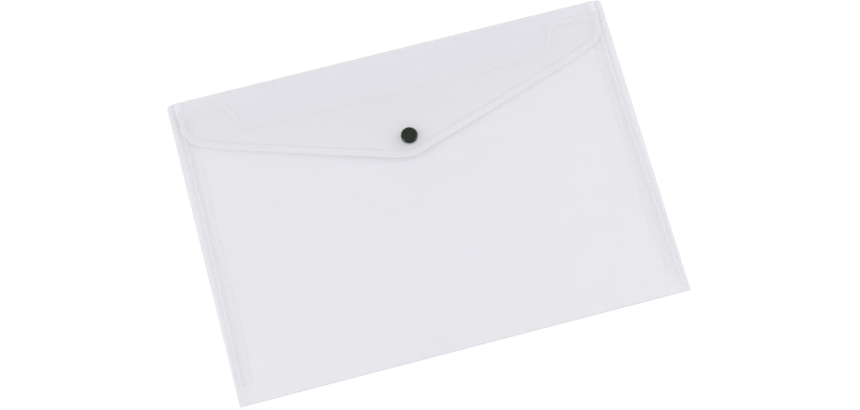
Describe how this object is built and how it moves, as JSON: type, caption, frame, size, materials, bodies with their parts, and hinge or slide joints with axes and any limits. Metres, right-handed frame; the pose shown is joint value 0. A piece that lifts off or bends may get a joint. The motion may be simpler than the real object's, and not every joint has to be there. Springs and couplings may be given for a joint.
{
  "type": "document wallet",
  "caption": "Flat landscape portfolio case of translucent plastic sheet, with a gusseted pocket and a creased V-shaped flap that closes with a press stud.",
  "frame": {"origin": "under the middle of the wallet, in the plane that its back face rests on", "axes": "+X along the width to the right as seen from the front, +Y in the plane of the wallet towards the flap's crease, +Z out of the front face"},
  "size_m": [0.33, 0.23, 0.0092],
  "materials": {
    "sheet": "satin",
    "snap": "gloss"
  },
  "bodies": {
    "pocket": {"back_panel": "sheet", "bottom_fold": "sheet", "front_panel": "sheet", "left_gusset": "sheet", "right_gusset": "sheet", "left_weld_flange": "sheet", "right_weld_flange": "sheet", "flap_crease": "sheet", "snap_stud": "snap", "snap_inner_cap": "snap"},
    "flap": {"flap": "sheet", "snap_cap": "snap", "snap_socket": "snap"}
  },
  "joints": [
    {"name": "flap_hinge", "type": "hinge", "parent": "pocket", "child": "flap", "pos_m": [0, 0.115, 0.0016], "axis": [-1, 0, 0], "range_deg": [0, 172], "deforming": ["flap_crease"]}
  ]
}
